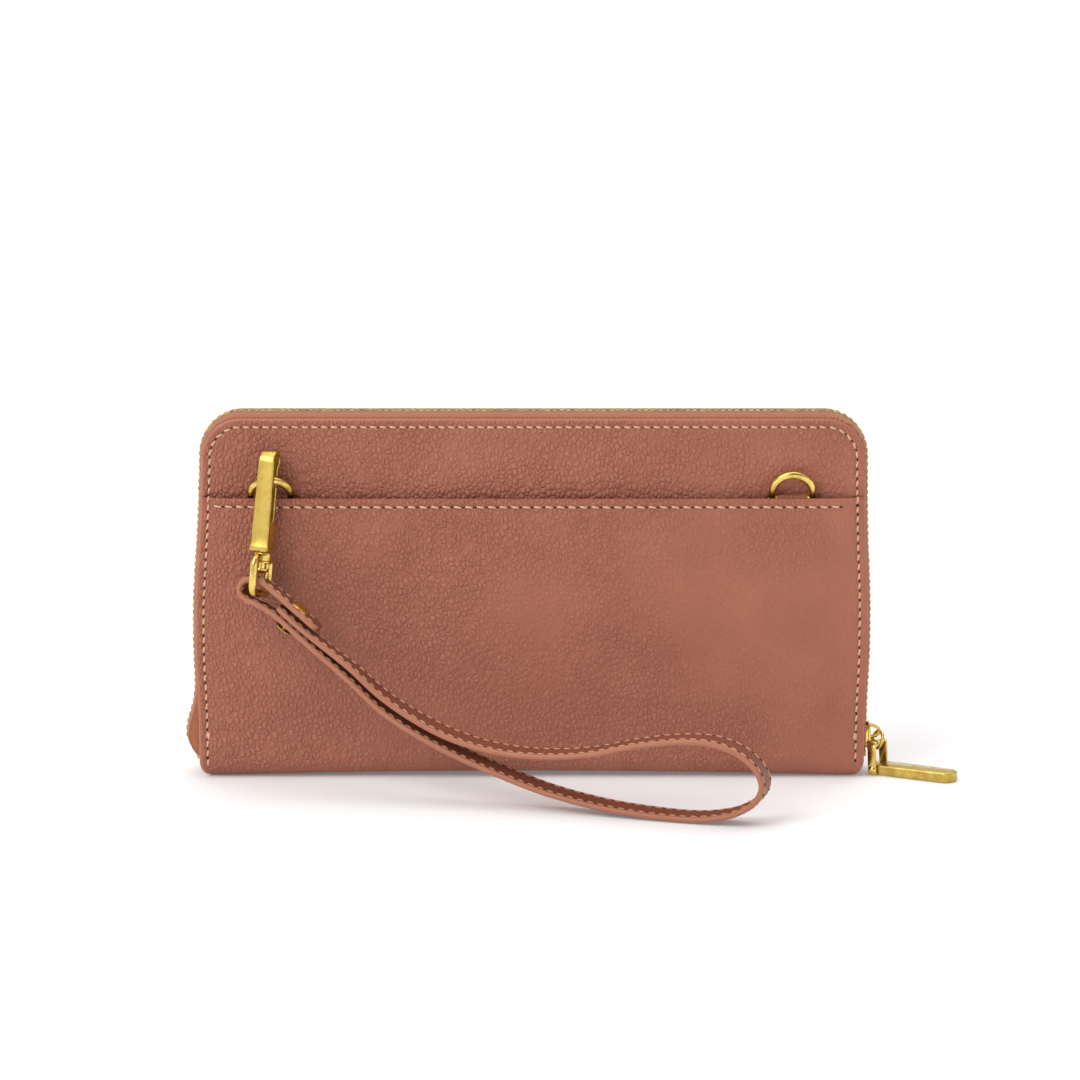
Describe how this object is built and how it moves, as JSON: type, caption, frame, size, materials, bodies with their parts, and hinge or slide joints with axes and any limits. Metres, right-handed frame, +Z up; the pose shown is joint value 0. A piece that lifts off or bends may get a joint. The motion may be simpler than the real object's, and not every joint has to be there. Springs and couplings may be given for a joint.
{
  "type": "zip around wallet",
  "caption": "Long pebbled leather wallet with a zip round three sides, a front slip pocket, D-rings, and a wrist strap on a brass trigger hook.",
  "frame": {"origin": "centre of the spine's flat underside, on which the wallet stands", "axes": "+X along the wallet towards the zip pull, +Y from the pocket side to the back cover, +Z up from the spine to the zip"},
  "size_m": [0.2298, 0.0816, 0.1108],
  "materials": {
    "pebbled_leather": "pebbled, semi-matt",
    "strap_leather": "smooth grained, painted edges",
    "lining_fabric": "matt weave",
    "stiffener_board": "matt",
    "zip_tape": "knitted, matt",
    "zip_brass": "satin",
    "brushed_brass": "brushed"
  },
  "bodies": {
    "front_cover": {"front_panel": "pebbled_leather", "slip_pocket": "pebbled_leather", "spine": "pebbled_leather", "spine_rear_bend": "pebbled_leather", "spine_board": "stiffener_board", "front_board": "stiffener_board", "front_lining": "lining_fabric", "card_slot_front_1": "lining_fabric", "card_slot_front_2": "lining_fabric", "d_ring_tab_left": "pebbled_leather", "d_ring_tab_right": "pebbled_leather", "zip_tape_front": "zip_tape", "zip_teeth_front": "zip_brass", "zip_end_stop_front": "zip_brass", "zip_bottom_stop": "zip_brass", "gusset_front_left": "lining_fabric", "gusset_front_right": "lining_fabric"},
    "back_cover": {"back_panel": "pebbled_leather", "back_board": "stiffener_board", "back_lining": "lining_fabric", "card_slot_back_1": "lining_fabric", "card_slot_back_2": "lining_fabric", "card_slot_back_3": "lining_fabric", "zip_tape_back": "zip_tape", "zip_teeth_back": "zip_brass", "zip_end_stop_back": "zip_brass", "gusset_back_left": "lining_fabric", "gusset_back_right": "lining_fabric"},
    "coin_pocket": {"coin_wall_front": "lining_fabric", "coin_wall_rear": "lining_fabric", "coin_top_band": "lining_fabric", "coin_tape_lower": "zip_tape", "coin_tape_upper": "zip_tape", "coin_teeth_lower": "zip_brass", "coin_teeth_upper": "zip_brass"},
    "coin_slider": {"coin_slider": "brushed_brass"},
    "coin_pull": {"coin_pull": "brushed_brass"},
    "zip_slider": {"zip_slider_body": "brushed_brass", "zip_slider_crown": "brushed_brass"},
    "pull_ring": {"pull_ring": "brushed_brass"},
    "pull_shackle": {"pull_shackle": "brushed_brass", "pull_pin": "brushed_brass"},
    "pull_bar": {"pull_bar": "brushed_brass"},
    "d_ring_left": {"d_ring_left": "brushed_brass"},
    "d_ring_right": {"d_ring_right": "brushed_brass"},
    "hook": {"hook_body": "brushed_brass", "gate_pin": "brushed_brass", "gate_spring": "brushed_brass", "swivel_rivet": "brushed_brass"},
    "hook_gate": {"hook_gate": "brushed_brass"},
    "swivel_ring": {"swivel_ring": "brushed_brass"},
    "wrist_strap": {"wrist_strap": "strap_leather", "strap_rivet": "brushed_brass"}
  },
  "joints": [
    {"name": "back_cover_hinge", "type": "hinge", "parent": "front_cover", "child": "back_cover", "pos_m": [0, 0.0045, 0.006], "axis": [-1, 0, 0], "range_deg": [0, 70], "deforming": ["spine_rear_bend", "gusset_back_left", "gusset_back_right"]},
    {"name": "coin_pocket_hinge", "type": "hinge", "parent": "front_cover", "child": "coin_pocket", "pos_m": [0, 0.0045, 0.006], "axis": [-1, 0, 0], "range_deg": [0, 35], "deforming": ["gusset_front_left", "gusset_front_right"]},
    {"name": "coin_slider_slide", "type": "slide", "parent": "coin_pocket", "child": "coin_slider", "axis": [1, 0, 0], "range_m": [0, 0.155]},
    {"name": "coin_pull_hinge", "type": "hinge", "parent": "coin_slider", "child": "coin_pull", "pos_m": [-0.0814, -0.00265, 0.09], "axis": [-1, 0, 0], "range_deg": [0, 8]},
    {"name": "zip_slide", "type": "slide", "parent": "front_cover", "child": "zip_slider", "axis": [0, 0, 1], "range_m": [0, 0.075]},
    {"name": "pull_ring_hinge", "type": "hinge", "parent": "zip_slider", "child": "pull_ring", "pos_m": [0.1046, -0.0012, 0.0124], "axis": [0.5009, -0.6912, 0.5209], "range_deg": [0, 50]},
    {"name": "pull_shackle_hinge", "type": "hinge", "parent": "pull_ring", "child": "pull_shackle", "pos_m": [0.10455, -0.00271, 0.00964], "axis": [-0.4695, -0.8829, 0], "range_deg": [0, 30]},
    {"name": "pull_bar_hinge", "type": "hinge", "parent": "pull_shackle", "child": "pull_bar", "pos_m": [0.1049, -0.0029, 0.00175], "axis": [-0.4695, -0.8829, 0], "range_deg": [0, 35]},
    {"name": "d_ring_left_hinge", "type": "hinge", "parent": "front_cover", "child": "d_ring_left", "pos_m": [-0.0775, -0.0096, 0.0854], "axis": [1, 0, 0], "range_deg": [0, 5]},
    {"name": "d_ring_right_hinge", "type": "hinge", "parent": "front_cover", "child": "d_ring_right", "pos_m": [0.0775, -0.0096, 0.0854], "axis": [1, 0, 0], "range_deg": [0, 22]},
    {"name": "hook_swing", "type": "hinge", "parent": "d_ring_left", "child": "hook", "pos_m": [-0.0775, -0.01499, 0.09197], "axis": [-1, 0, 0], "range_deg": [0, 5]},
    {"name": "gate_hinge", "type": "hinge", "parent": "hook", "child": "hook_gate", "pos_m": [-0.07824, -0.0162, 0.07775], "axis": [0.9508, -0.3089, -0.0231], "range_deg": [0, 13], "stiffness_Nm_per_rad": 0.01, "springref_deg": -17.19, "deforming": ["gate_spring"]},
    {"name": "swivel", "type": "hinge", "parent": "hook", "child": "swivel_ring", "pos_m": [-0.07952, -0.01954, 0.06956], "axis": [-0.0856, -0.1901, -0.978], "range_deg": [0, 120]},
    {"name": "strap_hinge", "type": "hinge", "parent": "swivel_ring", "child": "wrist_strap", "pos_m": [-0.08043, -0.02156, 0.0592], "axis": [-0.2807, -0.9373, 0.2067], "range_deg": [0, 30]}
  ],
  "couplings": [
    {"joint": "hook_swing", "follows": "d_ring_left_hinge", "ratio": 1},
    {"joint": "coin_pocket_hinge", "follows": "back_cover_hinge", "ratio": 0.5}
  ]
}
